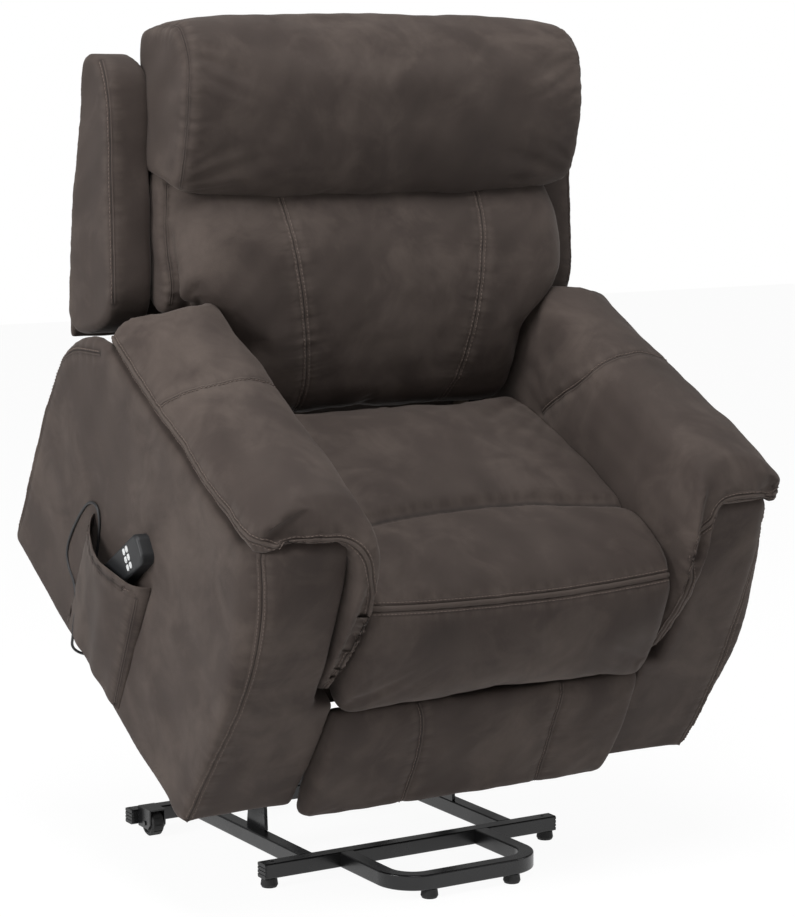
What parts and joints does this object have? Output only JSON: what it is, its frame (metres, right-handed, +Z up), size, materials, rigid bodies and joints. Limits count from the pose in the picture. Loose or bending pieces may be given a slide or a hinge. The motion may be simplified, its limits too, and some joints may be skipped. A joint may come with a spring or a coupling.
{
  "type": "lift recliner chair",
  "caption": "Upholstered power recliner on a lifting base, shown raised and tipped forward, with padded arms, footrest, reclining back and a wired handset in a side pocket.",
  "frame": {"origin": "on the floor, midway between the arms and midway between the front loop and the rear of the chair as raised", "axes": "+X to the sitter's left, +Y to the back of the chair, +Z up; the seat faces -Y"},
  "size_m": [0.9795, 0.8961, 1.3857],
  "materials": {
    "black_paint": "gloss black powder coat",
    "black_plastic": "matte black moulding",
    "foot_rubber": "matte black",
    "wheel_rubber": "ribbed dark grey",
    "spring_steel": "oiled spring wire",
    "frame_wood": "dark-stained hardwood and plywood",
    "upholstery": "mottled dark brown suede-look microfibre",
    "pocket_fabric": "the same fabric, unpadded",
    "handset_plastic": "charcoal, fine texture",
    "cord_jacket": "matte black jacket",
    "button_plastic": "white keys"
  },
  "bodies": {
    "base": {"front_crossbar": "black_paint", "rear_crossbar": "black_paint", "side_rail_right": "black_paint", "side_rail_left": "black_paint", "front_loop": "black_paint", "tube_end_caps": "black_plastic", "floor_feet": "foot_rubber", "caster_forks": "black_paint", "lift_risers": "black_paint", "lift_motor_bracket": "black_paint", "lift_motor": "black_plastic"},
    "caster_right": {"caster_wheel_right": "wheel_rubber"},
    "caster_left": {"caster_wheel_left": "wheel_rubber"},
    "lift_slider": {"lift_carriage": "black_plastic"},
    "rear_links": {"rear_lift_links": "black_paint", "rear_torque_tube": "black_paint"},
    "front_links": {"front_lift_links": "black_paint"},
    "footrest_slider": {"footrest_carriage": "black_plastic"},
    "back_slider": {"back_carriage": "black_plastic"},
    "footrest_swing": {"footrest_swing_links": "black_paint", "footrest_torque_tube": "black_paint"},
    "footrest_extension": {"footrest_extension_links": "black_paint"},
    "footrest": {"footrest_brackets": "black_paint", "footrest_board": "frame_wood", "footrest_pad": "upholstery"},
    "back": {"back_torque_tube": "black_paint", "back_hinge_arms": "black_paint", "back_board": "frame_wood", "back_shell": "upholstery", "lumbar_cushion": "upholstery", "headrest_cushion": "upholstery"},
    "button_1": {"handset_button_1": "button_plastic"},
    "button_2": {"handset_button_2": "button_plastic"},
    "button_3": {"handset_button_3": "button_plastic"},
    "button_4": {"handset_button_4": "button_plastic"},
    "button_5": {"handset_button_5": "button_plastic"},
    "button_6": {"handset_button_6": "button_plastic"},
    "chair": {"arm_front_panel_left": "upholstery", "arm_front_panel_right": "upholstery", "arm_inner_panels": "frame_wood", "arm_pad_left": "upholstery", "arm_pad_right": "upholstery", "arm_rear_panels": "upholstery", "arm_side_panel_left": "upholstery", "arm_side_panel_right": "upholstery", "back_motor": "black_plastic", "cord_relief": "handset_plastic", "cross_tubes": "black_paint", "footrest_motor": "black_plastic", "handset": "handset_plastic", "handset_cord": "cord_jacket", "lift_brackets": "black_paint", "mechanism_plates": "black_paint", "mounting_cleats": "frame_wood", "power_box": "black_plastic", "rear_panel": "upholstery", "seat_cushion": "upholstery", "seat_rails": "frame_wood", "seat_springs": "spring_steel", "side_pocket": "pocket_fabric"}
  },
  "joints": [
    {"name": "lift", "type": "hinge", "parent": "base", "child": "rear_links", "pos_m": [0, 0.3565, 0.20073], "axis": [1, 0, 0], "range_deg": [0, 65.56]},
    {"name": "body_tilt", "type": "hinge", "parent": "rear_links", "child": "chair", "pos_m": [0, 0.14682, 0.35697], "axis": [1, 0, 0], "range_deg": [-95.57, 0]},
    {"name": "front_link_swing", "type": "hinge", "parent": "base", "child": "front_links", "pos_m": [0, 0.135, 0.17095], "axis": [1, 0, 0], "range_deg": [0, 83.42]},
    {"name": "lift_drive", "type": "slide", "parent": "base", "child": "lift_slider", "axis": [0, 1, 0], "range_m": [0, 0.10303]},
    {"name": "footrest_swing_joint", "type": "hinge", "parent": "chair", "child": "footrest_swing", "pos_m": [0, -0.10861, 0.40637], "axis": [-1, 0, 0], "range_deg": [0, 100]},
    {"name": "footrest_knee", "type": "hinge", "parent": "footrest_swing", "child": "footrest_extension", "pos_m": [0, 0.06526, 0.35979], "axis": [1, 0, 0], "range_deg": [0, 75.69]},
    {"name": "footrest_board_joint", "type": "hinge", "parent": "footrest_extension", "child": "footrest", "pos_m": [0, -0.19264, 0.25393], "axis": [1, 0, 0], "range_deg": [-63.69, 0]},
    {"name": "footrest_drive", "type": "slide", "parent": "chair", "child": "footrest_slider", "axis": [0, -0.866, -0.5], "range_m": [0, 0.08582]},
    {"name": "recline", "type": "hinge", "parent": "chair", "child": "back", "pos_m": [0, 0.18097, 0.69481], "axis": [-1, 0, 0], "range_deg": [0, 35]},
    {"name": "back_drive", "type": "slide", "parent": "chair", "child": "back_slider", "axis": [0, -0.866, -0.5], "range_m": [0, 0.04667]},
    {"name": "caster_right_roll", "type": "hinge", "parent": "base", "child": "caster_right", "pos_m": [-0.288, 0.314, 0.022], "axis": [1, 0, 0], "continuous": true},
    {"name": "caster_left_roll", "type": "hinge", "parent": "base", "child": "caster_left", "pos_m": [0.288, 0.314, 0.022], "axis": [1, 0, 0], "continuous": true},
    {"name": "button_1_press", "type": "slide", "parent": "chair", "child": "button_1", "axis": [1, 0, 0], "range_m": [0, 0.001], "stiffness_N_per_m": 400, "springref_m": -0.0008},
    {"name": "button_2_press", "type": "slide", "parent": "chair", "child": "button_2", "axis": [1, 0, 0], "range_m": [0, 0.001], "stiffness_N_per_m": 400, "springref_m": -0.0008},
    {"name": "button_3_press", "type": "slide", "parent": "chair", "child": "button_3", "axis": [1, 0, 0], "range_m": [0, 0.001], "stiffness_N_per_m": 400, "springref_m": -0.0008},
    {"name": "button_4_press", "type": "slide", "parent": "chair", "child": "button_4", "axis": [1, 0, 0], "range_m": [0, 0.001], "stiffness_N_per_m": 400, "springref_m": -0.0008},
    {"name": "button_5_press", "type": "slide", "parent": "chair", "child": "button_5", "axis": [1, 0, 0], "range_m": [0, 0.001], "stiffness_N_per_m": 400, "springref_m": -0.0008},
    {"name": "button_6_press", "type": "slide", "parent": "chair", "child": "button_6", "axis": [1, 0, 0], "range_m": [0, 0.001], "stiffness_N_per_m": 400, "springref_m": -0.0008}
  ],
  "couplings": [
    {"joint": "body_tilt", "follows": "lift", "ratio": -1.4576},
    {"joint": "front_link_swing", "follows": "lift", "ratio": 1.2724},
    {"joint": "lift_drive", "follows": "lift", "m_per_rad": 0.090044},
    {"joint": "footrest_knee", "follows": "footrest_swing_joint", "ratio": 0.75685},
    {"joint": "footrest_board_joint", "follows": "footrest_swing_joint", "ratio": -0.63685},
    {"joint": "footrest_drive", "follows": "footrest_swing_joint", "m_per_rad": 0.049163},
    {"joint": "back_drive", "follows": "recline", "m_per_rad": 0.07639}
  ]
}
